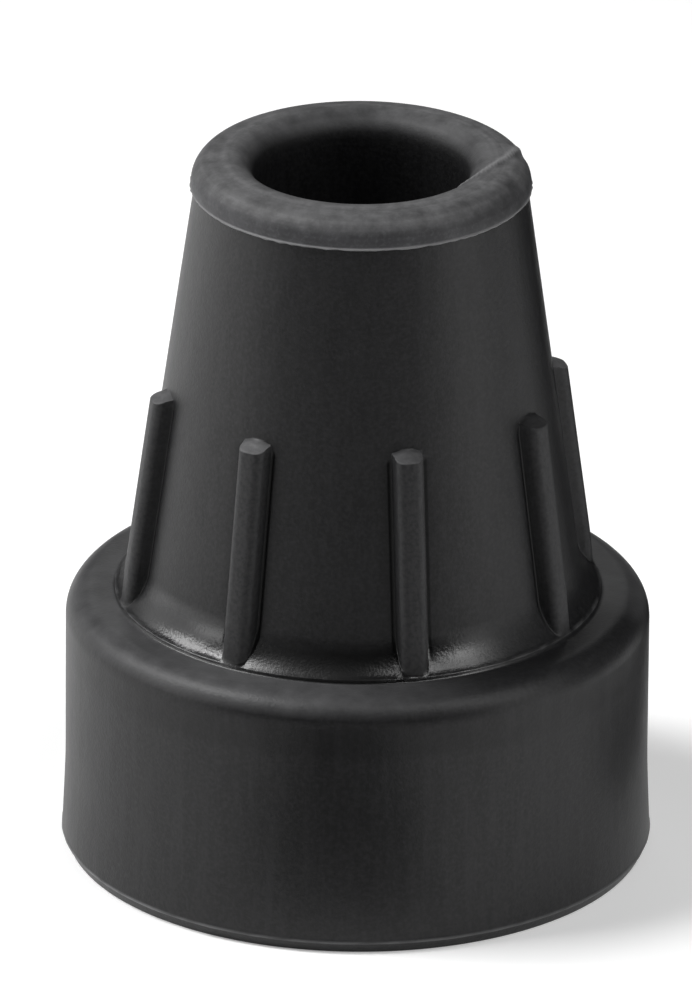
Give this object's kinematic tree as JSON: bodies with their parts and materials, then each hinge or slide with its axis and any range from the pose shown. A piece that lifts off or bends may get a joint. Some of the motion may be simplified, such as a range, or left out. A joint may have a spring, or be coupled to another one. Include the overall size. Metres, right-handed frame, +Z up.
{
  "type": "rubber cane tip",
  "caption": "Push-on rubber tip for the end of a cane or crutch tube: a ribbed cone on a broad round foot, with a rolled collar round a blind bore.",
  "frame": {"origin": "middle of the sole, on the floor the tip stands on", "axes": "+Z up the bore towards its mouth; the picture looks along +Y with +X to its right"},
  "size_m": [0.05, 0.05, 0.0622],
  "materials": {
    "rubber": "matte moulded"
  },
  "bodies": {
    "root": {"rubber_tip": "rubber"}
  },
  "joints": []
}
